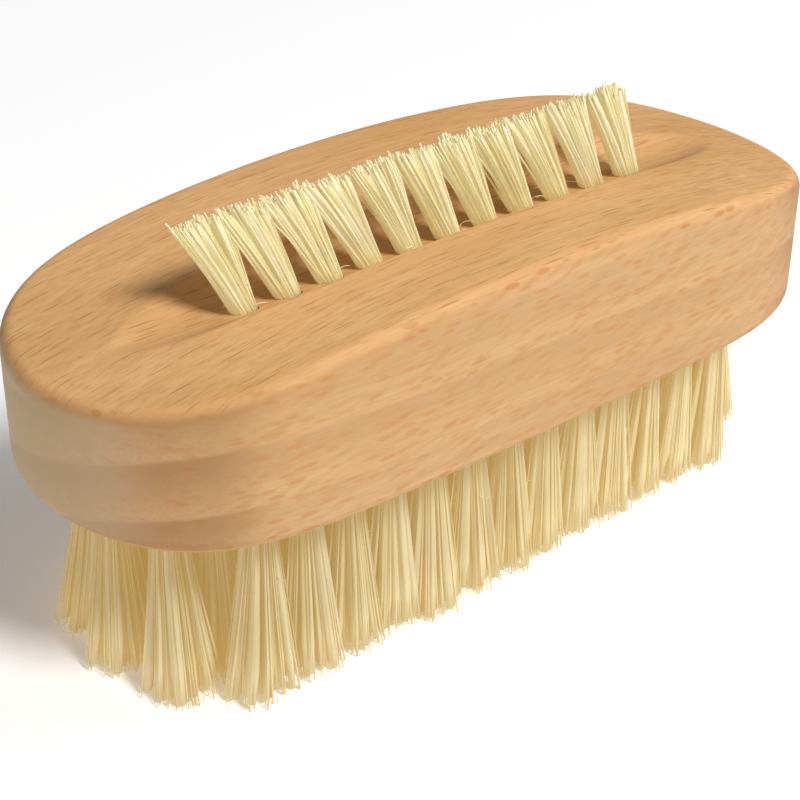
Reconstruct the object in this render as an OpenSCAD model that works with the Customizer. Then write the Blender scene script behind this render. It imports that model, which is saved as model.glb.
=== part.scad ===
// Two-sided wooden nail brush: a crowned beech block with five rows of plant-fibre tufts below it
// and one row of tufts in a groove along its top. Each tuft is folded over a flat wire anchor in a
// drilled hole. X runs along the block, Z is up, and Z = 0 is the plane of the trimmed under tufts.

/* [Block] */
// Length of the block
block_l = 95; // [80:1:120]
// Width of the block
block_w = 39; // [36:0.5:60]
// Thickness of the block at its middle
block_t = 19.4; // [18.5:0.1:30]
// How far the crowned top drops from the middle to the ends
crown_drop = 5.45; // [4:0.05:6]
// Bluntness of the ends in plan: a higher power is squarer
end_power = 6.3; // [4:0.1:8]
// Fullness of the sides in plan: a higher power is fuller
side_power = 1.89; // [1.7:0.01:2.4]
// Radius of the top edge
top_edge_r = 1.5; // [0.8:0.1:2]
// Radius of the lower edge along the sides
low_edge_side_r = 1; // [0.6:0.1:1.6]
// Radius of the lower edge at the two ends
low_edge_end_r = 2.3; // [1.6:0.1:2.8]

/* [Groove] */
// Depth of the groove at the middle of the block
groove_depth = 3.8; // [2.5:0.1:4]
// Radius of the groove's round bottom
groove_r = 7.1; // [5:0.1:12]
// Distance of the groove's middle line from the block's, towards the front
groove_off = 1.9; // [0:0.1:3]

/* [Holes] */
// Diameter of the hole for each tuft
hole_d = 2.9; // [2.6:0.1:3.2]
// Depth of each hole
hole_depth = 6.3; // [5:0.1:6.5]
// Clearance round a tuft in its hole and round an anchor in its slot
fit_gap = 0.02; // [0.01:0.01:0.05]

/* [Top tufts] */
// Spacing of the top tufts
top_pitch = 5.13; // [4.8:0.01:6]
// Height of the top tufts above the groove's bottom
top_tuft_h = 10.4; // [8:0.1:12]
// Usual drift of a top tuft's tip to the left
top_lean_x = 4.6; // [0:0.1:4.8]
// Drift of a top tuft's tip to the back
top_lean_y = 1.2; // [0:0.1:2]
// Distance of the row of top tufts in front of the groove's middle line
top_row_off = 1; // [0:0.1:1.2]
// Number of strands in a top tuft
top_strands = 8; // [5:1:8]

/* [Under tufts] */
// Usual spacing of the tufts along a row, which then fill the row evenly
tuft_pitch = 5.3; // [5.2:0.05:7]
// Distance from the sides of the block to the outer rows
side_margin = 7.1; // [6.5:0.1:7.4]
// Distance from the ends of the block to the middle row
mid_end_margin = 7.5; // [7:0.1:10]
// Distance from the ends of the block to the two rows beside it
next_end_margin = 9.7; // [9:0.1:12]
// Distance from the ends of the block to the two outer rows
outer_end_margin = 16; // [14:0.1:18]
// Length of the under bristles below the block
under_h = 19.3; // [12:0.1:22]
// Outward drift of the tips at the two ends of a row
end_fan = 2.2; // [0:0.1:4]
// Outward drift of the tips in the two outer rows
side_fan = 1; // [0:0.1:2]
// Number of strands in an under tuft
under_strands = 5; // [4:1:5]

/* [Bristles] */
// How much shorter the shortest strands of a tuft are
ragged = 1.1; // [0.6:0.1:2]
// Depth by which the longest under strands are trimmed flat
trim = 0.5; // [0.3:0.1:0.6]
// Distance from a tuft's middle to a strand's middle at the tips
tip_ring_r = 1.6; // [1.3:0.1:1.7]

/* [Anchors] */
// Thickness of the flat wire
anchor_t = 0.3; // [0.2:0.05:0.4]
// Length of an anchor, which bites into the wood on both sides of its hole
anchor_l = 3.7; // [3.4:0.1:4.2]
// Height of an anchor
anchor_h = 1.7; // [1.4:0.1:2.2]
// Thickness of the fold of fibre below an anchor
fold_t = 0.8; // [0.5:0.1:1.2]

/* [Hidden] */
TOP_N = 11; // tufts in the top row, one node each
ROWS = 5; // rows of under tufts, one node each
STATIONS = 48; // points along each side of the outline
EDGE_STEPS = 4; // facets across a rounded edge
ROUND_FN = 48; // fineness of the exact round cuts
overrun = 1; // how far a cut runs past the surface that it opens
skin = 0.02; // layer that is sawn off to leave the under side as one flat face
GOLDEN = (sqrt(5) - 1) / 2; // its multiples scatter evenly between 0 and 1
FILL_SHARE = 0.86; // size of a strand's root in its share of the tuft
TIP_SHARE = 0.78; // size of a strand's tip beside its root
JITTER_SHARE = 0.06; // sideways scatter of the strand tips beside the tip ring
FAN_POWER = 3; // how sharply the fan grows towards the ends of a row
// how far each top tuft drifts beside the usual: soft tufts never stand quite alike
LEAN_SHARES = [1, 1, 1, 1.15, 1, 0.8, 0.95, 0.95, 1.1, 1.1, 0.7];
half_l = block_l / 2;
half_w = block_w / 2;
under_z = under_h;
top_z = under_z + block_t;
groove_z = top_z - groove_depth;
groove_y = -groove_off;
top_row_y = groove_y - top_row_off;
plug_r = hole_d / 2 - fit_gap;
plug_h = hole_depth - fit_gap;
anchor_z = fold_t + anchor_h / 2; // middle of an anchor above the foot of its tuft
end_margins = [outer_end_margin, next_end_margin, mid_end_margin, next_end_margin, outer_end_margin];
row_ends = [for (m = end_margins) half_l - m];
row_counts = [for (e = row_ends) round(2 * e / tuft_pitch) + 1];
wood = "#d9ae7e";
fibre = "#e6d8a4";
steel = "#b9bcc0";

// Places of the tufts
function top_x(i) = (i - (TOP_N - 1) / 2) * top_pitch;
function row_y(r) = (half_w - side_margin) * (2 * r / (ROWS - 1) - 1);
function row_x(r, i) = row_ends[r] * (2 * i / (row_counts[r] - 1) - 1);
// A number from 0 to 1 that scatters with k
function scatter(k) = k * GOLDEN - floor(k * GOLDEN);

// The outline in plan, and the level of the crowned top
function outline_y(x) = half_w * pow(max(0, 1 - pow(abs(x) / half_l, end_power)), 1 / side_power);
function crown_z(x) = top_z - crown_drop * pow(x / half_l, 2);
function low_edge_r(x) =
    low_edge_side_r + (low_edge_end_r - low_edge_side_r) * pow(abs(x) / half_l, 2);

// A point of the outline at station i, and the outward direction there
function station(i) =
    let (a = 180 * i / STATIONS, x = half_l * cos(a), s = i % STATIONS == 0 ? 0 : sign(sin(a)))
    [x, s * outline_y(x)];
function outward(p) =
    let (gx = end_power / half_l * pow(abs(p.x) / half_l, end_power - 1) * sign(p.x),
         gy = side_power / half_w * pow(abs(p.y) / half_w, side_power - 1) * sign(p.y))
    [gx, gy] / norm([gx, gy]);

// One ring of the shell, q degrees round the top edge, or round the lower edge
function top_ring(q) = [for (i = [0:2 * STATIONS - 1])
    let (p = station(i), n = outward(p), v = p - n * top_edge_r * (1 - cos(q)))
    [v.x, v.y, crown_z(v.x) - top_edge_r * (1 - sin(q))]];
function low_ring(q) = [for (i = [0:2 * STATIONS - 1])
    let (p = station(i), n = outward(p), r = low_edge_r(p.x), v = p - n * r * (1 - cos(q)))
    [v.x, v.y, under_z - skin + r * (1 - sin(q))]];

// The outer shape of the block as a closed shell of triangles
module block_shell() {
    n = 2 * STATIONS;
    rings = [for (k = [0:EDGE_STEPS]) top_ring(90 * (1 - k / EDGE_STEPS)),
             for (k = [0:EDGE_STEPS]) low_ring(90 * k / EDGE_STEPS)];
    last = len(rings) - 1;
    points = [for (ring = rings) each ring];
    walls = [for (r = [0:last - 1], i = [0:n - 1])
        let (j = (i + 1) % n, a = r * n + i, b = r * n + j, c = a + n, d = b + n)
        each [[a, c, d], [a, d, b]]];
    // strips across the crown, between each pair of stations and their mirror images
    crown = [for (i = [0:STATIONS - 1])
        let (a = i, b = i + 1, c = n - i - 1, d = (n - i) % n)
        each concat(i == STATIONS - 1 ? [] : [[a, b, c]], i == 0 ? [] : [[a, c, d]])];
    foot = [for (i = [1:n - 2]) [last * n, last * n + i + 1, last * n + i]];
    faces = concat(walls, crown, foot);
    polyhedron(points = points, faces = [for (f = faces) [f[2], f[1], f[0]]], convexity = 2);
}

// A drilled hole with the slot that its anchor cuts at the bottom, opening upwards from z = 0
module drilled_hole(depth) {
    cylinder(d = hole_d, h = depth, $fn = ROUND_FN);
    translate([0, 0, fit_gap + anchor_z])
        cube([anchor_t, anchor_l, anchor_h] + 2 * fit_gap * [1, 1, 1], center = true);
}

module brush_block() {
    color(wood) difference() {
        block_shell();
        translate([-block_l, -block_w, under_z - 2 * overrun])
            cube([2 * block_l, 2 * block_w, 2 * overrun]);
        translate([-half_l, groove_y, groove_z + groove_r])
            rotate([0, 90, 0])
                cylinder(r = groove_r, h = block_l, $fn = 2 * ROUND_FN);
        for (i = [0:TOP_N - 1])
            translate([top_x(i), top_row_y, groove_z - hole_depth])
                drilled_hole(hole_depth + overrun);
        for (r = [0:ROWS - 1], i = [0:row_counts[r] - 1])
            translate([row_x(r, i), row_y(r), under_z + hole_depth])
                mirror([0, 0, 1])
                    drilled_hole(hole_depth + overrun);
    }
}

// A tuft standing on z = 0: a plug of n sides that fills the hole, and one three-sided strand grown
// from each of its n shares of the plug's top. Strand i ends at tips[i], its whole length tapering.
function plug_corner(n, i) = plug_r * [cos(360 * i / n), sin(360 * i / n)];
function strand_root(n, i) =
    let (c = [[0, 0], plug_corner(n, i), plug_corner(n, i + 1)], m = (c[0] + c[1] + c[2]) / 3)
    [for (p = c) (p - m) * FILL_SHARE + m];

module tuft(n, tips) {
    first = 2 * n + 1;
    plug = [for (z = [0, plug_h], i = [0:n - 1]) [each plug_corner(n, i), z]];
    strands = [for (i = [0:n - 1])
        let (root = strand_root(n, i), m = (root[0] + root[1] + root[2]) / 3)
        each concat([for (p = root) [p.x, p.y, plug_h]],
                    [for (p = root) [(p - m).x * TIP_SHARE, (p - m).y * TIP_SHARE, 0] + tips[i]])];
    points = concat(plug, [[0, 0, plug_h]], strands);
    foot = [for (i = [1:n - 2]) [0, i + 1, i]];
    sides = [for (i = [0:n - 1])
        let (j = (i + 1) % n)
        each [[i, j, n + j], [i, n + j, n + i]]];
    shoulders = [for (i = [0:n - 1], k = [0:2])
        let (rim = [2 * n, n + i, n + (i + 1) % n], root = first + 6 * i, j = (k + 1) % 3)
        each [[rim[k], rim[j], root + j], [rim[k], root + j, root + k]]];
    stems = [for (i = [0:n - 1], k = [0:2])
        let (root = first + 6 * i, j = (k + 1) % 3)
        each [[root + k, root + j, root + 3 + j], [root + k, root + 3 + j, root + 3 + k]]];
    ends = [for (i = [0:n - 1]) let (t = first + 6 * i + 3) [t, t + 1, t + 2]];
    faces = concat(foot, sides, shoulders, stems, ends);
    difference() {
        polyhedron(points = points, faces = [for (f = faces) [f[2], f[1], f[0]]], convexity = 4);
        translate([0, 0, anchor_z])
            cube([anchor_t + 2 * fit_gap, hole_d, anchor_h + 2 * fit_gap], center = true);
    }
}

// Tips of a tuft's strands: a ring that drifts by lean, with lengths that scatter below h and are
// cut level at top, which lies trim below h on the tufts that the brush stands on
function tuft_tips(n, h, lean, key, top) = [for (i = [0:n - 1])
    let (a = 360 * (i + 0.5) / n, s = scatter(key * n + i), // key tells the tufts apart
         z = min(top, h - ragged * s), share = z / h,
         out = tip_ring_r * (1 + JITTER_SHARE * (2 * s - 1)))
    [out * cos(a) + lean.x * share, out * sin(a) + lean.y * share, plug_h + z]];

module top_tuft(i) {
    lean = [-top_lean_x * LEAN_SHARES[i], top_lean_y];
    tips = tuft_tips(top_strands, top_tuft_h, lean, i, top_tuft_h);
    color(fibre) translate([top_x(i), top_row_y, groove_z - plug_h])
        tuft(top_strands, tips);
}

// The drift of the tips of tuft i in row r, outwards at the ends of the row and in the outer rows
function fan(r, i) =
    let (along = row_x(r, i) / (half_l - mid_end_margin), across = row_y(r) / row_y(ROWS - 1))
    [end_fan * pow(along, FAN_POWER), side_fan * pow(across, FAN_POWER)];

module under_row(r) {
    color(fibre) for (i = [0:row_counts[r] - 1]) {
        lean = fan(r, i);
        tips = tuft_tips(under_strands, under_h + trim, [lean.x, -lean.y], ROWS * i + r, under_h);
        translate([row_x(r, i), row_y(r), under_z + plug_h])
            rotate([180, 0, 0])
                tuft(under_strands, tips);
    }
}

module anchor() {
    cube([anchor_t, anchor_l, anchor_h], center = true);
}

module top_anchors() {
    color(steel) for (i = [0:TOP_N - 1])
        translate([top_x(i), top_row_y, groove_z - plug_h + anchor_z])
            anchor();
}

module under_anchors() {
    color(steel) for (r = [0:ROWS - 1], i = [0:row_counts[r] - 1])
        translate([row_x(r, i), row_y(r), under_z + plug_h - anchor_z])
            anchor();
}

brush_block();
top_tuft(0);  // top_tuft_01
top_tuft(1);  // top_tuft_02
top_tuft(2);  // top_tuft_03
top_tuft(3);  // top_tuft_04
top_tuft(4);  // top_tuft_05
top_tuft(5);  // top_tuft_06
top_tuft(6);  // top_tuft_07
top_tuft(7);  // top_tuft_08
top_tuft(8);  // top_tuft_09
top_tuft(9);  // top_tuft_10
top_tuft(10);  // top_tuft_11
under_row(0);  // under_row_1
under_row(1);  // under_row_2
under_row(2);  // under_row_3
under_row(3);  // under_row_4
under_row(4);  // under_row_5
top_anchors();
under_anchors();
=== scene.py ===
import math

import bpy
import numpy as np
from mathutils import Matrix, Vector


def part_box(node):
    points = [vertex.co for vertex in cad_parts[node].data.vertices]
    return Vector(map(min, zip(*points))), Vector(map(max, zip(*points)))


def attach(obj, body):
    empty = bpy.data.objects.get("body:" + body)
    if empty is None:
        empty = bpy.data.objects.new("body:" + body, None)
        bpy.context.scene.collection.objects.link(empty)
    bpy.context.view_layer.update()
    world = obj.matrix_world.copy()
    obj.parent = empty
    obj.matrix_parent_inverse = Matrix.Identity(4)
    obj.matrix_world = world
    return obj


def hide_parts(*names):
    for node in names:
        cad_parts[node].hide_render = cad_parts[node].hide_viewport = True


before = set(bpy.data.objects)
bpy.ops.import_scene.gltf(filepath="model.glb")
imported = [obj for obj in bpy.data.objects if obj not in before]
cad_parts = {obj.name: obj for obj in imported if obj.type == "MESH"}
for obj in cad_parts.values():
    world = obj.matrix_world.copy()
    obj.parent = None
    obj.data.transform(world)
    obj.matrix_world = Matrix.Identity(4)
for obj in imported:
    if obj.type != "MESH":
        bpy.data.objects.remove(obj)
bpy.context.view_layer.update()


# The block
#
# One piece of beech, sawn to an oval and crowned along its length. A ball-nosed cutter has run a
# groove along its top, the edges are eased, the faces are sanded and left bare, and it is drilled
# from both sides, with one blind hole for each tuft.

MM = 0.001
TINY = 1e-6
block_low, block_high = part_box("brush_block")
HALF_LENGTH, HALF_WIDTH = block_high.x, block_high.y
UNDERSIDE, CROWN_TOP = block_low.z, block_high.z
END_POWER, SIDE_POWER = 6.3, 1.89
CROWN_DROP = 5.45 * MM
TOP_EDGE = 1.5 * MM
LOW_EDGE_SIDE, LOW_EDGE_END = 1.0 * MM, 2.3 * MM
GROOVE_RADIUS, GROOVE_DEPTH, GROOVE_Y = 7.1 * MM, 3.8 * MM, -1.9 * MM
GROOVE_FLOOR = CROWN_TOP - GROOVE_DEPTH
GROOVE_AXIS = GROOVE_FLOOR + GROOVE_RADIUS
ARRIS_EASE = 0.6 * MM
HOLE_RADIUS, HOLE_DEPTH = 1.45 * MM, 6.3 * MM
TOP_TUFTS, TOP_PITCH, TOP_OFFSET = 11, 5.13 * MM, 1.0 * MM
TOP_ROW_Y = GROOVE_Y - TOP_OFFSET
ROW_COUNTS = (13, 15, 16, 15, 13)
ROW_ENDS = (31.5 * MM, 37.8 * MM, 40 * MM, 37.8 * MM, 31.5 * MM)
ROW_SPREAD, MIDDLE_ROW = 6.2 * MM, 2

top_places = [
    Vector(((i - (TOP_TUFTS - 1) / 2) * TOP_PITCH, TOP_ROW_Y, GROOVE_FLOOR)) for i in range(TOP_TUFTS)
]
row_places = [
    [
        Vector((end * (2 * i / (count - 1) - 1), (row - MIDDLE_ROW) * ROW_SPREAD, UNDERSIDE))
        for i in range(count)
    ]
    for row, (count, end) in enumerate(zip(ROW_COUNTS, ROW_ENDS))
]


def crown(x):
    """Height of the crowned top over a place along the block."""
    return CROWN_TOP - CROWN_DROP * (x / HALF_LENGTH) ** 2


def ring(angle, turn, lower):
    """The block's outline at the given angles, turned by so much round its top or lower edge."""
    x = HALF_LENGTH * np.cos(angle)
    y = HALF_WIDTH * np.maximum(0, 1 - np.abs(np.cos(angle)) ** END_POWER) ** (1 / SIDE_POWER)
    y = np.where(np.abs(np.sin(angle)) < TINY, 0, y * np.sign(np.sin(angle)))
    out = np.stack([
        END_POWER / HALF_LENGTH * np.abs(x / HALF_LENGTH) ** (END_POWER - 1) * np.sign(x),
        SIDE_POWER / HALF_WIDTH * np.abs(y / HALF_WIDTH) ** (SIDE_POWER - 1) * np.sign(y),
    ])
    out /= np.hypot(*out)
    low_edge = LOW_EDGE_SIDE + (LOW_EDGE_END - LOW_EDGE_SIDE) * (x / HALF_LENGTH) ** 2
    radius = low_edge if lower else TOP_EDGE
    inset = radius * (1 - np.cos(turn))
    drop = radius * (1 - np.sin(turn))
    x, y = x - out[0] * inset, y - out[1] * inset
    return np.stack([x, y, UNDERSIDE + drop if lower else crown(x) - drop], axis=-1)


def routed_top(x, y):
    """Height of the top: the crown, or the groove where it is lower, with the arris between them eased."""
    steepest_reach, least_rise = 0.05 * GROOVE_RADIUS, 0.1 * GROOVE_RADIUS
    crest = crown(x)
    reach = np.clip(GROOVE_RADIUS**2 - (y - GROOVE_Y) ** 2, steepest_reach**2, None)
    groove = GROOVE_AXIS - np.sqrt(reach)
    rise = np.clip(GROOVE_AXIS - crest, least_rise, GROOVE_RADIUS)
    slope = np.sqrt(GROOVE_RADIUS**2 - rise**2) / rise
    ease = ARRIS_EASE * slope + TINY
    near = np.clip(ease - np.abs(crest - groove), 0, None) / ease
    return np.minimum(crest, groove) - near**2 * ease / 4


def smooth(share):
    """A share from 0 to 1 that sets off and arrives gently."""
    return share * share * (3 - 2 * share)


def deselect_all():
    bpy.ops.object.select_all(action="DESELECT")


def make_active(piece):
    """Leaves only this piece selected, for the operators that follow."""
    deselect_all()
    piece.select_set(True)
    bpy.context.view_layer.objects.active = piece


def read_points(piece):
    points = np.empty(3 * len(piece.data.vertices))
    piece.data.vertices.foreach_get("co", points)
    return points.reshape(-1, 3)


def write_points(piece, points):
    piece.data.vertices.foreach_set("co", np.ascontiguousarray(points).ravel())
    piece.data.update()


# a flat grid is laid over the outline, closer along the two edges of the groove than elsewhere,
# but even across the narrow ends of the block, which the groove doesn't reach
COLUMNS, ROWS_ACROSS = 144, 62
LEAST_HALF_GROOVE, EASE_REACH = 1.0 * MM, 0.45 * MM
EVEN_HALF_WIDTH, BLEND_WIDTH = 9 * MM, 4 * MM
STOP_SHARES = (-1, -0.61, -0.36, 0.29, 0.54, 1)
deselect_all()
bpy.ops.mesh.primitive_grid_add(x_subdivisions=COLUMNS, y_subdivisions=ROWS_ACROSS, size=2)
block = bpy.context.object
block.name = block.data.name = "block"
points = read_points(block)
angle = np.pi * (1 - points[:, 0]) / 2
far_side = ring(angle, np.pi / 2, False)
half_width = far_side[:, 1]
depth = np.clip(GROOVE_AXIS - crown(far_side[:, 0]), 0, GROOVE_RADIUS)
half_groove = np.maximum(np.sqrt(GROOVE_RADIUS**2 - depth**2), LEAST_HALF_GROOVE)
stops = np.stack([
    -half_width, GROOVE_Y - half_groove - EASE_REACH, GROOVE_Y - half_groove + EASE_REACH,
    GROOVE_Y + half_groove - EASE_REACH, GROOVE_Y + half_groove + EASE_REACH, half_width,
])
even = points[:, 1] * half_width
routed = np.empty(len(points))
for k in range(len(STOP_SHARES) - 1):
    low_share, high_share = STOP_SHARES[k], STOP_SHARES[k + 1]
    inside = (points[:, 1] >= low_share - TINY) & (points[:, 1] <= high_share + TINY)
    share = (points[:, 1] - low_share) / (high_share - low_share)
    routed[inside] = (stops[k] + (stops[k + 1] - stops[k]) * share)[inside]
blend = smooth(np.clip((half_width - EVEN_HALF_WIDTH) / BLEND_WIDTH, 0, 1))
across = even + (routed - even) * blend
grid_edge = np.where(points[:, 1] > 0, angle, 2 * np.pi - angle)
write_points(block, np.stack([far_side[:, 0], across, routed_top(far_side[:, 0], across)], axis=-1))
station = block.data.attributes.new("station", "FLOAT", "POINT")
station.data.foreach_set("value", grid_edge)

# the rim of the grid is drawn out and down, ring by ring, round the eased edges and down the side
EDGE_STEPS, SIDE_STEPS = 7, 4
turns = np.linspace(np.pi / 2, 0, EDGE_STEPS + 1)[1:]
bpy.ops.object.mode_set(mode="EDIT")
bpy.ops.mesh.select_mode(type="EDGE")
bpy.ops.mesh.select_all(action="SELECT")
bpy.ops.mesh.remove_doubles(threshold=TINY / 2)
bpy.ops.mesh.select_all(action="DESELECT")
bpy.ops.mesh.select_non_manifold()
for k in range(2 * EDGE_STEPS + SIDE_STEPS):
    bpy.ops.mesh.extrude_region_move()
    bpy.ops.object.mode_set(mode="OBJECT")
    chosen = np.zeros(len(block.data.vertices), dtype=bool)
    block.data.vertices.foreach_get("select", chosen)
    stations = np.empty(len(chosen))
    block.data.attributes["station"].data.foreach_get("value", stations)
    upper, lower = ring(stations, 0, False), ring(stations, 0, True)
    if k < EDGE_STEPS:
        drawn = ring(stations, turns[k], False)
    elif k < EDGE_STEPS + SIDE_STEPS:
        drawn = upper + (lower - upper) * (k - EDGE_STEPS + 1) / SIDE_STEPS
    else:
        drawn = ring(stations, np.pi / 2 - turns[k - EDGE_STEPS - SIDE_STEPS], True)
    points = read_points(block)
    points[chosen] = drawn[chosen]
    write_points(block, points)
    bpy.ops.object.mode_set(mode="EDIT")
bpy.ops.mesh.edge_face_add()
bpy.ops.mesh.select_all(action="SELECT")
bpy.ops.mesh.normals_make_consistent(inside=False)
bpy.ops.object.mode_set(mode="OBJECT")

# the drills: one for each hole, joined, and cut away from the block
DRILL_SIDES, OVERRUN = 28, 1.5 * MM
SHARPEST_SMOOTH = math.radians(38)
drills = []
for place, way in [(p, 1) for p in top_places] + [(p, -1) for row in row_places for p in row]:
    deselect_all()
    bpy.ops.mesh.primitive_cylinder_add(
        vertices=DRILL_SIDES, radius=HOLE_RADIUS, depth=HOLE_DEPTH + OVERRUN,
        location=place - Vector((0, 0, way * (HOLE_DEPTH - OVERRUN) / 2)),
    )
    drills.append(bpy.context.object)
for drill in drills:
    drill.select_set(True)
bpy.ops.object.join()
drill = bpy.context.object
bpy.ops.object.transform_apply()
cut = block.modifiers.new("holes", "BOOLEAN")
cut.operation, cut.solver, cut.object = "DIFFERENCE", "EXACT", drill
make_active(block)
bpy.ops.object.modifier_apply(modifier=cut.name)
bpy.data.objects.remove(drill)
block.data.attributes.remove(block.data.attributes["station"])
bpy.ops.object.shade_smooth_by_angle(angle=SHARPEST_SMOOTH)


def feed(node, values):
    """Gives each named input of a node its value, or a link from its Shade."""
    for name, value in values.items():
        if isinstance(value, Shade):
            value.tree.links.new(value.socket, node.inputs[name])
        else:
            node.inputs[name].default_value = value


class Shade:
    """A socket of a material's node tree. Sums of sockets and numbers add the nodes that they need."""

    def __init__(self, tree, socket=None):
        self.tree, self.socket = tree, socket

    def node(self, kind, settings, sockets, output=0):
        """Adds a node, its settings first, then the values or links of its sockets."""
        made = self.tree.nodes.new("ShaderNode" + kind)
        for name, value in settings.items():
            setattr(made, name, value)
        feed(made, sockets)
        return Shade(self.tree, made.outputs[output])

    def sum(self, operation, *values):
        """A sum of the given values, such as this socket and another."""
        return self.node("Math", {"operation": operation}, dict(enumerate(values)))

    def __add__(self, other):
        return self.sum("ADD", self, other)

    def __sub__(self, other):
        return self.sum("SUBTRACT", self, other)

    def __rsub__(self, other):
        return self.sum("SUBTRACT", other, self)

    def __mul__(self, other):
        return self.sum("MULTIPLY", self, other)

    __radd__, __rmul__ = __add__, __mul__

    def ramp(self, low, high):
        """0 below low, 1 above high, and smooth between them; with low above high it falls instead."""
        names = {"Value": self, "From Min": min(low, high), "From Max": max(low, high)}
        rise = self.node("MapRange", {"interpolation_type": "SMOOTHSTEP"}, names)
        return rise if low < high else 1 - rise

    def mix(self, first, second):
        """Colour first where this socket is 0 and second where it is 1."""
        return self.node("Mix", {"data_type": "RGBA"}, {0: self, 6: first, 7: second}, output=2)

    def parts(self):
        """The three parts of this vector."""
        split = self.node("SeparateXYZ", {}, {"Vector": self})
        return [Shade(self.tree, part) for part in split.socket.node.outputs]

    def vector(self, operation, *values, output=0):
        """A sum of the given vectors."""
        return self.node("VectorMath", {"operation": operation}, dict(enumerate(values)), output)

    def stretched(self, x, y, z):
        """This vector with each of its parts multiplied."""
        return self.vector("MULTIPLY", self, (x, y, z))

    def noise(self, detail, scale=1, output=0):
        """Soft noise over this vector, as a number, or as a colour with output 1."""
        return self.node("TexNoise", {}, {"Vector": self, "Scale": scale, "Detail": detail}, output)


def new_material(name):
    """A material with only a Principled shader, and a Shade to add its nodes with."""
    material = bpy.data.materials.new(name)
    material.use_nodes = True
    return material, material.node_tree.nodes["Principled BSDF"], Shade(material.node_tree)


def colour(red, green, blue):
    """A colour of the eye's scale, 0 to 255, as the linear one that shaders take."""
    parts = [value / 255 for value in (red, green, blue)]
    return (*[p / 12.92 if p <= 0.04045 else ((p + 0.055) / 1.055) ** 2.4 for p in parts], 1)


# Steamed beech: a warm tan in broad bands, one for each year of growth, with streaks along the grain.
# The rays are thin upright ribbons, so they show as fine dark dashes where the top cuts across them,
# and as soft orange flecks where the sides run along them. Round the ends the side turns to end
# grain, which is darker and shows the bands more strongly; its very ends are painted pale, a painted
# reflection of the white room. The sides are greyer than the top, partly for the other face of the
# grain and partly as painted shade, and the eased edges are painted a darker orange, partly as
# painted shade where they turn away from the light.
EARLY_WOOD, LATE_WOOD, PALE_WOOD = colour(230, 179, 120), colour(202, 149, 95), colour(236, 190, 138)
STREAK, FINE_STREAK, MOTTLE = colour(212, 158, 100), colour(196, 142, 86), colour(186, 132, 80)
SIDE_GRAIN_AND_SHADE, EDGE_GRAIN_AND_SHADE = colour(164, 137, 103), colour(196, 140, 84)
END_GRAIN, PAINTED_END_REFLECTION = colour(158, 116, 70), colour(196, 174, 138)
FLECK, DASH = colour(194, 132, 74), colour(168, 108, 58)
YEARS_UP, YEARS_ACROSS, YEARS_ALONG, FIRST_YEAR = 158, 45, 4, 0.83
WAVER = (4 * MM, 1.2 * MM, 2.4 * MM)
MOTTLE_SLANT = math.radians(18)
beech, shader, add = new_material("steamed_beech")
place = add.node("TexCoord", {}, {}, output=3)
bent = place.vector("MULTIPLY_ADD", place.stretched(1, 2, 2).noise(2, 20, output=1), WAVER, place)
along, across, upward = bent.parts()
year = upward * YEARS_UP + across * YEARS_ACROSS + along * YEARS_ALONG + FIRST_YEAR
year = year.sum("FRACT", year)
growth = year.ramp(0.0, 0.88) - year.ramp(0.92, 1.0)
drift = bent.stretched(20, 60, 90).noise(2)
streaks = bent.stretched(45, 700, 700).noise(3)
fine = bent.stretched(170, 3200, 3200).noise(2)
slanted = add.node("Mapping", {}, {"Vector": bent, "Rotation": (0, MOTTLE_SLANT, 0)})
mottle = slanted.stretched(260, 420, 1300).noise(2)


def rays(cell, size, filled):
    """Rays of a size, one to each cell of a loose lattice, both in mm, with only a share of them filled."""
    cells = bent.stretched(*[1 / (side * MM) for side in cell])
    lattice = {"Vector": cells, "Scale": 1}
    middle, tint = [add.node("TexVoronoi", {"feature": "F1"}, lattice, output=k) for k in (2, 1)]
    pick = add.node("SeparateColor", {}, {"Color": tint})
    offset = cells.vector("SUBTRACT", cells, middle)
    offset = offset.stretched(*[side / half for side, half in zip(cell, size)])
    distance = offset.vector("LENGTH", offset, output=1)
    return distance.ramp(1.0, 0.45) * pick.ramp(1 - filled, 1.1 - filled)


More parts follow.
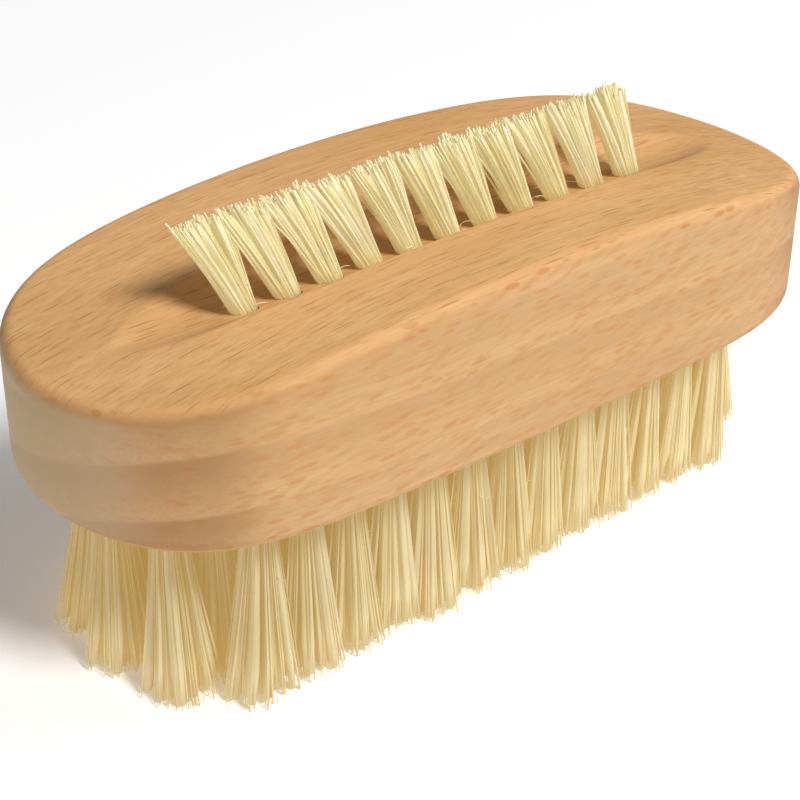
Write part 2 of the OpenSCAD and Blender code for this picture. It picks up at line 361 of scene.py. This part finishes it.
long_dashes = rays(cell=(5.0, 0.8, 3.5), size=(1.9, 0.085, 1.9), filled=0.85)
short_dashes = rays(cell=(2.3, 0.5, 3.0), size=(0.8, 0.055, 1.6), filled=0.75)
flecks = rays(cell=(2.8, 1.4, 1.1), size=(1.2, 0.8, 0.33), filled=0.85)
normal = add.node("NewGeometry", {}, {}, output=1)
endways, _, upright = normal.vector("ABSOLUTE", normal).parts()
on_top = upright.ramp(0.35, 0.9)
on_side = 1 - on_top
on_edge = upright.ramp(0.08, 0.3) * upright.ramp(0.97, 0.75)
dashes = long_dashes.sum("MAXIMUM", long_dashes, short_dashes * 0.7) * on_top
tan = EARLY_WOOD
for share, tint in (
    (growth * (0.3 + on_side * 0.3), LATE_WOOD),
    (drift.ramp(0.35, 0.75) * 0.5, PALE_WOOD),
    (streaks.ramp(0.35, 0.7) * 0.5, STREAK),
    (fine.ramp(0.4, 0.75) * 0.4, FINE_STREAK),
    # the sides: partly the other face of the grain, partly painted shade, since less light falls on them
    # than on the top
    (on_side * 0.4, SIDE_GRAIN_AND_SHADE),
    (mottle.ramp(0.45, 0.75) * on_side * 0.42, MOTTLE),
    # the eased edges: a darker orange, partly the grain cut across there, partly painted shade where the
    # edges turn away from the light, most of all towards the ends
    (on_edge * (0.2 + endways * 0.35), EDGE_GRAIN_AND_SHADE),
    (flecks * (on_edge * 0.6 + on_side * 0.5), FLECK),
    (endways.ramp(0.15, 0.5) * (0.38 + growth * 0.4) * on_side, END_GRAIN),
    # painted reflection: the very ends are painted pale for the white room that they reflect
    (endways.ramp(0.7, 1.0) * on_side * 0.55, PAINTED_END_REFLECTION),
    (dashes * 0.7, DASH),
):
    tan = share.mix(tan, tint)
relief = {"Strength": 0.3, "Distance": 0.12 * MM, "Height": fine * 0.3 - dashes * 0.3}
feed(shader, {
    "Base Color": tan,
    "Roughness": 0.48 + fine * 0.16,
    "Normal": add.node("Bump", {}, relief),
    "Specular IOR Level": 0.28,
})
block.data.materials.append(beech)
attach(block, "root")
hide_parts("brush_block")


# The tufts of the top row
#
# Each is a pinch of pale agave fibre, folded in half over a flat wire and driven into its hole, so
# that all its ends stand up. The fibres splay above the hole, and use has combed them to the left.

# turns in radians, and how far the streaks of one strand lie from those of another, in mm
FULL_TURN, GOLDEN_TURN = 6.28, 2.39996
OWN_PATTERN = 90

# a wisp's share of its full width at the hole, and of its length where it starts to close, what share
# of its width a fibre loses, and how flat each of them is
WISP_ROOT, WISP_CLOSES, FIBRE_THINS = 0.36, 0.9, 0.25
WISP_FLATNESS, FIBRE_FLATNESS = 0.6, 0.75
STRAND_SMOOTH = math.radians(100)


def new_strand(sides, steps):
    """Points and faces of a closed strand of length and radius 1, which is modelled once and copied."""
    deselect_all()
    bpy.ops.mesh.primitive_circle_add(vertices=sides, radius=1, fill_type="NGON")
    strand = bpy.context.object
    bpy.ops.object.mode_set(mode="EDIT")
    bpy.ops.mesh.select_all(action="SELECT")
    for k in range(steps):
        bpy.ops.mesh.extrude_region_move(TRANSFORM_OT_translate={"value": (0, 0, 1 / steps)})
    bpy.ops.mesh.select_all(action="SELECT")
    bpy.ops.mesh.normals_make_consistent(inside=False)
    bpy.ops.object.mode_set(mode="OBJECT")
    points, faces = read_points(strand), [list(face.vertices) for face in strand.data.polygons]
    bpy.data.objects.remove(strand)
    return points, faces


fibre, wisp = new_strand(4, 5), new_strand(6, 6)


def fibre_width(t):
    """A fibre's share of its full width along its length: it thins only near its tip."""
    return 1 - FIBRE_THINS * t**6


def wisp_width(t, blunt):
    """A wisp's share of its full width along its length: it opens from the hole, and closes at its end."""
    return (WISP_ROOT + (1 - WISP_ROOT) * t**0.8) * np.where(t > WISP_CLOSES, blunt, 1)


def lay(strand, curves, profile, flatness, first):
    """Copies of a strand, each laid along a curve through three places, with what its look needs.

    The points of the copies are numbered from the first one on.
    """
    roots, middles, tips, widths, turns, tones = curves
    points, faces = strand
    t = points[:, 2][None, :, None]
    roots, middles, tips = roots[:, None], middles[:, None], tips[:, None]
    line = roots * (1 - t) ** 2 + middles * 2 * t * (1 - t) + tips * t**2
    way = (middles - roots) * 2 * (1 - t) + (tips - middles) * 2 * t
    way /= np.linalg.norm(way, axis=2, keepdims=True)
    facing = np.stack([np.cos(turns), np.sin(turns), 0 * turns], axis=-1)[:, None]
    side = np.cross(way, facing)
    side /= np.linalg.norm(side, axis=2, keepdims=True)
    wide = widths[:, None, None] * profile(t)
    sideways, outward = wide * points[None, :, 0, None], wide * points[None, :, 1, None] * flatness
    laid = line + side * sideways + np.cross(way, side) * outward
    run = np.linalg.norm(tips - roots, axis=2, keepdims=True) * t
    lie = np.concatenate([sideways, outward, run], axis=2) / MM + tones[:, None, None] * OWN_PATTERN
    copies = first + np.arange(len(widths))[:, None] * len(points)
    loops = (np.concatenate(faces)[None, :] + copies).ravel()
    sizes = np.tile([len(face) for face in faces], len(widths))
    return laid.reshape(-1, 3), loops, sizes, np.repeat(tones, len(points)), lie.reshape(-1, 3)


def tuft_piece(name, node, wisps, fibres, blunt):
    """One piece of many strands, which stands for a node of tufts."""
    locks = lay(wisp, wisps, lambda t: wisp_width(t, blunt), WISP_FLATNESS, 0)
    loose = lay(fibre, fibres, fibre_width, FIBRE_FLATNESS, len(locks[0]))
    laid, loops, sizes, tones, lie = [np.concatenate(pair) for pair in zip(locks, loose)]
    mesh = bpy.data.meshes.new(name)
    mesh.vertices.add(len(laid))
    mesh.vertices.foreach_set("co", laid.ravel())
    mesh.loops.add(len(loops))
    mesh.loops.foreach_set("vertex_index", loops.astype(np.int32))
    mesh.polygons.add(len(sizes))
    mesh.polygons.foreach_set("loop_start", (np.cumsum(sizes) - sizes).astype(np.int32))
    mesh.update(calc_edges=True)
    for look, kind, field, values in (
        ("tone", "FLOAT", "value", tones), ("lie", "FLOAT_VECTOR", "vector", lie),
    ):
        look_data = mesh.attributes.new(look, kind, "POINT").data
        look_data.foreach_set(field, values.ravel().astype(np.float32))
    piece = bpy.data.objects.new(name, mesh)
    bpy.context.scene.collection.objects.link(piece)
    make_active(piece)
    bpy.ops.object.shade_smooth_by_angle(angle=STRAND_SMOOTH)
    mesh.materials.append(agave)
    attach(piece, "root")
    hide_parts(node)


def spiral(rng, count):
    """Places spread evenly over a disc of radius 1."""
    turn = np.arange(count) * GOLDEN_TURN + rng.uniform(0, FULL_TURN)
    return (np.sqrt((np.arange(count) + 0.5) / count) * np.stack([np.cos(turn), np.sin(turn)])).T


# how far out of the tuft a burr's curl and end stand, how high, and how far they swing aside, in mm
CURL_REACH, END_REACH, BURR_LIFT, BURR_SWING = (0.4, 0.9), (0.8, 1.7), (0.3, 0.9), 0.7
CURL_RISE = 1.3
BURR_AT_HOLE, BURR_AT_TIPS = 0.85, 0.8


def add_burrs(rng, place, lean, spread, burr, up, length):
    """A few broken fibres that curl out of a tuft, between two of its heights: starts, curls and ends."""
    count, low, high = burr
    turn, share = rng.uniform(0, FULL_TURN, count), rng.uniform(low, high, count)[:, None]
    outwards = np.stack([np.cos(turn), np.sin(turn)], axis=-1)
    rim = HOLE_RADIUS * BURR_AT_HOLE * (1 - share) + spread * BURR_AT_TIPS * share
    rim = outwards * rim + lean * share
    starts = place + np.concatenate([rim, up * share * length], axis=1)
    aside = np.stack([-outwards[:, 1], outwards[:, 0]], axis=-1)
    aside = aside * rng.normal(0, BURR_SWING * MM, (count, 1))
    lift = up * rng.uniform(*BURR_LIFT, (count, 1)) * MM
    curls = outwards * rng.uniform(*CURL_REACH, (count, 1)) * MM
    curls = np.concatenate([curls, lift * CURL_RISE], axis=1)
    ends = outwards * rng.uniform(*END_REACH, (count, 1)) * MM + aside
    ends = np.concatenate([ends, lift], axis=1)
    return starts, starts + curls, starts + ends


# half the width of a fibre and of a burr in mm, the share of the fibres that are broader, and of
# those that stand apart from the rest
FIBRE_WIDTHS, BURR_WIDTHS = (0.065, 0.12), (0.03, 0.045)
BROAD_SHARE, BROADER = 0.2, 1.8
APART_SHARE, FURTHEST_APART = 0.06, 1.4

# how the strands fill the hole, splay above it, bend outwards, and differ from one another
HEARTS_AT_HOLE, HEARTS_SPLAY, FIBRES_AT_HOLE = 0.75, 0.84, 0.94
OUTWARD_BEND, LEANING_BEND, BEND_JITTER = 0.1, 0.06, 0.1 * MM
LOCK_DRIFT, LOCK_RAGGED, FIBRE_RAGGED, HEARTS_SHORTER = 0.06, 0.6, 0.5, 1.2
JITTER = 0.12 * MM
LOCK_WIDTHS, LOCK_TURN = (0.85, 1.15), 0.5


def grow(
    rng, place, lean, stray, burr,
    up, length, spread, locks, gather, thick, fibre_count, ragged, slope, depth, floor,
):
    """The curves of one tuft: a wisp in the heart of each lock, and the fibres that lie round them.

    The tuft goes up or down by its length, leans, and spreads by so much each way. Its fibres are
    gathered into locks, their ends are ragged and cut on a slope, they start at a depth in the hole,
    and none reaches below the floor. A burr is how many there are, and between which two heights.
    """
    place, lean, spread, stray = np.array(place), np.array(lean), np.array(spread), np.array(stray)
    hearts, spots = spiral(rng, locks), spiral(rng, fibre_count)
    nearest = np.argmin(np.linalg.norm(spots[:, None] - hearts[None], axis=2), axis=1)
    drifts = rng.normal(0, LOCK_DRIFT, hearts.shape) * spread
    longer = rng.normal(0, ragged * LOCK_RAGGED, locks)
    gathered = spots + (hearts[nearest] - spots) * gather

    # a few fibres stand apart from the rest, and are shorter
    apart = (rng.uniform(0, 1, fibre_count) < APART_SHARE)[:, None]
    strays = np.minimum(np.abs(rng.normal(0, 1, spots.shape)), FURTHEST_APART) * stray
    astray = np.where(apart, strays, rng.normal(0, JITTER, spots.shape))
    reaches = length + longer[nearest] + rng.normal(0, ragged * FIBRE_RAGGED, fibre_count)
    reaches = reaches - apart[:, 0] * ragged
    curves = []
    for spot, splay, reach in (
        (
            hearts * HEARTS_AT_HOLE, hearts * HEARTS_SPLAY * spread + drifts,
            length - ragged * HEARTS_SHORTER + longer,
        ),
        (spots * FIBRES_AT_HOLE, gathered * spread + drifts[nearest] + astray, reaches),
    ):
        reach = reach - splay[:, 1] * slope
        at_hole = spot * HOLE_RADIUS
        offset = at_hole + (splay - at_hole + lean) * (reach / length)[:, None]
        level = np.zeros((len(spot), 1))
        roots = place + np.concatenate([at_hole, level - up * depth], axis=1)
        tips = place + np.concatenate([offset, up * reach[:, None]], axis=1)
        tips[:, 2] = np.maximum(tips[:, 2], floor + np.abs(rng.normal(0, JITTER, len(spot))))
        bend = (splay - at_hole) * -OUTWARD_BEND - lean * LEANING_BEND
        bend = bend + rng.normal(0, BEND_JITTER, splay.shape)
        curves.append([roots, (roots + tips) / 2 + np.concatenate([bend, level], axis=1), tips])
    burrs = add_burrs(rng, place, lean, spread, burr, up, length)
    curves[1] = [np.concatenate(pair) for pair in zip(curves[1], burrs)]

    # the widths, the way that each strand is turned, and the tones
    curves[0] += [
        rng.uniform(*LOCK_WIDTHS, locks) * thick,
        np.arctan2(hearts[:, 1], hearts[:, 0]) + rng.normal(0, LOCK_TURN, locks),
        rng.uniform(0, 1, locks),
    ]
    widths = rng.uniform(*FIBRE_WIDTHS, fibre_count)
    widths = widths * np.where(rng.uniform(0, 1, fibre_count) < BROAD_SHARE, BROADER, 1)
    widths = np.concatenate([widths, rng.uniform(*BURR_WIDTHS, burr[0])]) * MM
    curves[1] += [widths, rng.uniform(0, FULL_TURN, len(widths)), rng.uniform(0, 1, len(widths))]
    return curves


# Agave fibre: cream, each fibre of its own tone and a few of them yellow, finely streaked along their
# length. A painted amber glow stands in for the light that the fibres pass on to one another, most of
# all below the wood. The under tufts carry painted shade below the wood, and painted light that makes
# them paler towards their tips and the right end of the brush.
DULL_CREAM, CREAM, BLEACHED = colour(211, 204, 162), colour(217, 212, 178), colour(223, 221, 201)
YELLOW, DARK_STREAK, PALE_STRIP = colour(200, 182, 104), colour(208, 192, 131), colour(227, 225, 200)
PAINTED_SHADE_BELOW, PAINTED_LIGHT_RIGHT, PAINTED_TIP_LIGHT = colour(160, 155, 124), colour(220, 210, 168), colour(220, 214, 180)
# painted glow: a weak amber emission that stands in for the light the fibres pass on to one another,
# stronger below the wood
GLOW_ABOVE, GLOW_BELOW, GLOW_STRENGTH = (0.86, 0.7, 0.34, 1), (1.0, 0.63, 0.2, 1), 0.25
agave, shader, add = new_material("agave_fibre")
tone = add.node("Attribute", {"attribute_name": "tone"}, {}, output=2)
lie = add.node("Attribute", {"attribute_name": "lie"}, {}, output=1)
streak = lie.stretched(5, 5, 0.22).noise(3)
strips = lie.stretched(2, 2, 0.08).noise(1)
lengthways, _, height = add.node("TexCoord", {}, {}, output=3).parts()
below = height.ramp(UNDERSIDE + 1 * MM, UNDERSIDE)
cream = DULL_CREAM
for share, tint in (
    (tone.ramp(0.05, 0.7), CREAM),
    (tone.ramp(0.8, 1.0), BLEACHED),
    (tone.ramp(0.16, 0.1) * 0.8, YELLOW),
    (streak.ramp(0.4, 0.75) * 0.3, DARK_STREAK),
    (strips.ramp(0.5, 0.8) * 0.3, PALE_STRIP),
    # painted shade: the under tufts are painted darker, for the light that the wood above keeps from them
    (below * 0.8, PAINTED_SHADE_BELOW),
    # painted light: the under tufts are painted paler towards the right end, where more light falls on them
    (below * lengthways.ramp(-40 * MM, 35 * MM) * 0.35, PAINTED_LIGHT_RIGHT),
    # painted light: the under tufts are painted paler towards their tips, against the shade of the floor
    # below them and for the light that passes through their thin ends
    (height.ramp(8 * MM, 0.5 * MM) * 0.45, PAINTED_TIP_LIGHT),
):
    cream = share.mix(cream, tint)
relief = {"Strength": 0.5, "Distance": 0.06 * MM, "Height": streak}
feed(shader, {
    "Base Color": cream,
    "Roughness": 0.42 + streak * 0.2,
    "Normal": add.node("Bump", {}, relief),
    "Specular IOR Level": 0.4,
    "Emission Color": below.mix(GLOW_ABOVE, GLOW_BELOW),
    "Emission Strength": GLOW_STRENGTH,
})

TOP_LEAN, TOP_BACK = 4.6 * MM, 0.9 * MM
LEAN_SHARES = (0.95, 1, 1, 1.1, 1, 0.9, 0.95, 0.95, 0.97, 0.9, 0.73)
TOP_STRAY, TOP_BURRS = (-1.0 * MM, 0.5 * MM), (3, 0, 0.1)
TOP_BLUNT, TOP_SEED = 0.7, 100
top_tuft = {
    "up": 1, "length": 10.2 * MM, "spread": (3.1 * MM, 0.7 * MM), "locks": 12, "gather": 0.45,
    "thick": 0.42 * MM, "fibre_count": 160, "ragged": 0.4 * MM, "slope": 0.4, "depth": 0.15 * MM, "floor": 0,
}
for i, place in enumerate(top_places):
    rng = np.random.default_rng(TOP_SEED + i)
    lean = (-TOP_LEAN * LEAN_SHARES[i], TOP_BACK)
    wisps, fibres = grow(rng, place, lean, TOP_STRAY, TOP_BURRS, **top_tuft)
    tuft_piece(f"top_tuft_{i + 1:02d}_fibres", f"top_tuft_{i + 1:02d}", wisps, fibres, TOP_BLUNT)


# The tufts of the under side
#
# The same fibre in longer pinches, 72 of them in five rows. They splay until they meet, those at the
# ends and along the sides lean outwards, and all are trimmed to one level, which has frayed a little.

END_LEANS = (-4.2 * MM, -0.6 * MM, -0.6 * MM, -2.4 * MM, -1.6 * MM)
FRONT_LEANS = (1.2 * MM, 3.2 * MM, 1.0 * MM, 0, 0)
SIDE_LEANS = (1, 0.45, 0.1, -0.3, -0.6)
COMBED, RIGHT_END_LEAN = 0.4 * MM, 1.6 * MM
SIDE_FAN, SIDE_PINCH = 1.8 * MM, 0.6 * MM
FAN_JITTER, UNDER_STRAY = (0.25, 0.2), 0.7 * MM
UNDER_BURRS = (2, 0.02, 0.5)
UNDER_BLUNT, UNDER_SEED = 0.6, 500
under_tuft = {
    "up": -1, "length": UNDERSIDE, "spread": (4.1 * MM, 3.6 * MM), "locks": 26, "gather": 0.25,
    "thick": 0.85 * MM, "fibre_count": 140, "ragged": 0.45 * MM, "slope": 0, "depth": 1.2 * MM,
    "floor": 0.02 * MM,
}


def share_of_way(x, start, end):
    """How far x has come from start to end, from 0 to 1."""
    return min(max((x - start) / (end - start), 0), 1)


for row, places in enumerate(row_places):
    rng = np.random.default_rng(UNDER_SEED + row)
    tufts = []
    for place in places:
        left = share_of_way(place.x, -20 * MM, -40 * MM)
        right = share_of_way(place.x, -15 * MM, 30 * MM)
        outermost = share_of_way(place.x, 28 * MM, 40 * MM)
        fan_x = END_LEANS[row] * left**2 - COMBED + COMBED * right**2 + RIGHT_END_LEAN * outermost
        fan_y = SIDE_LEANS[row] * (SIDE_FAN * smooth(right) - SIDE_PINCH) - FRONT_LEANS[row] * left
        fan = [side + rng.normal(0, jitter) * MM for side, jitter in zip((fan_x, fan_y), FAN_JITTER)]
        stray = rng.normal(0, UNDER_STRAY, 2)
        tufts.append(grow(rng, place, fan, stray, UNDER_BURRS, **under_tuft))
    wisps, fibres = [[np.concatenate(values) for values in zip(*kind)] for kind in zip(*tufts)]
    tuft_piece(f"under_row_{row + 1}_fibres", f"under_row_{row + 1}", wisps, fibres, UNDER_BLUNT)


# The wire anchors
#
# Short cuts of flat steel wire, one in the fold of each tuft, driven across the bottom of its hole.
# They keep the shape that the drawing gives them, with a rolled finish.

steel, shader, add = new_material("rolled_wire")
rolled = add.node("TexCoord", {}, {}, output=3).stretched(9000, 600, 9000).noise(2)
feed(shader, {
    "Base Color": rolled.ramp(0.3, 0.7).mix(colour(168, 168, 164), colour(198, 199, 198)),
    "Roughness": 0.28 + rolled * 0.2,
    "Metallic": 1,
})
for name in ("top_anchors", "under_anchors"):
    for material_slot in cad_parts[name].material_slots:
        material_slot.material = steel


# The studio
#
# A plain pale floor in a white room, with a soft key light above the front, and a weaker and lower
# one at each end.

WHITE = (1, 1, 1, 1)
FLOOR_SIZE, FLOOR_GLOW, ROOM_LIGHT = 6, 0.14, 0.1
deselect_all()
bpy.ops.mesh.primitive_plane_add(size=FLOOR_SIZE, location=(0, 0, 0))
floor = bpy.context.object
floor.name = "floor"
paper, shader, add = new_material("pale_paper")
feed(shader, {
    "Base Color": (0.97, 0.97, 0.97, 1),
    "Roughness": 0.9,
    "Specular IOR Level": 0.1,
    "Emission Color": WHITE,
    "Emission Strength": FLOOR_GLOW,
})
floor.data.materials.append(paper)

world = bpy.data.worlds.new("white_room")
world.use_nodes = True
feed(world.node_tree.nodes["Background"], {"Color": WHITE, "Strength": ROOM_LIGHT})
bpy.context.scene.world = world

AIM = Vector((0, 0, 0.03))
for name, way, distance, size, power in (
    ("key", (0.15, -0.8, 1.0), 2.2, 0.7, 42),
    ("right", (0.95, -0.35, 0.45), 2.2, 0.9, 14),
    ("left", (-0.95, -0.1, 0.3), 2.2, 1.6, 11.5),
):
    deselect_all()
    away = Vector(way).normalized()
    bpy.ops.object.light_add(type="AREA", location=AIM + away * distance)
    light = bpy.context.object
    light.name = light.data.name = name
    light.rotation_mode = "QUATERNION"
    light.rotation_quaternion = away.to_track_quat("Z", "Y")
    light.data.shape, light.data.size, light.data.energy = "DISK", size, power

# the camera stands where the photograph was taken from
AZIMUTH, ELEVATION, ROLL = math.radians(-39.5685), math.radians(30.7074), math.radians(0.337)
FRAME_PX, FOCAL_PX, DISTANCE = 800, 1871.855, 192.194 * MM
ORIGIN_PX = (431.071, 193.805)
SENSOR_WIDTH = 36
level = math.cos(ELEVATION)
back = Vector((math.sin(AZIMUTH) * level, -math.cos(AZIMUTH) * level, math.sin(ELEVATION)))
right = (-back).cross(Vector((0, 0, 1))).normalized()
up = right.cross(-back)
right, up = math.cos(ROLL) * right + math.sin(ROLL) * up, math.cos(ROLL) * up - math.sin(ROLL) * right
shift_right = (ORIGIN_PX[0] - FRAME_PX / 2) / FOCAL_PX * DISTANCE
shift_up = -(ORIGIN_PX[1] - FRAME_PX / 2) / FOCAL_PX * DISTANCE
deselect_all()
bpy.ops.object.camera_add()
camera = bpy.context.object
camera.name = camera.data.name = "camera"
spot = Vector((0, 0, CROWN_TOP)) - right * shift_right - up * shift_up + back * DISTANCE
camera.matrix_world = Matrix.Translation(spot) @ Matrix((right, up, back)).transposed().to_4x4()
camera.data.sensor_width = SENSOR_WIDTH
camera.data.lens = SENSOR_WIDTH * FOCAL_PX / FRAME_PX
camera.data.clip_start, camera.data.clip_end = 0.01, 20
bpy.context.scene.camera = camera
bpy.context.scene.view_settings.view_transform = "Standard"
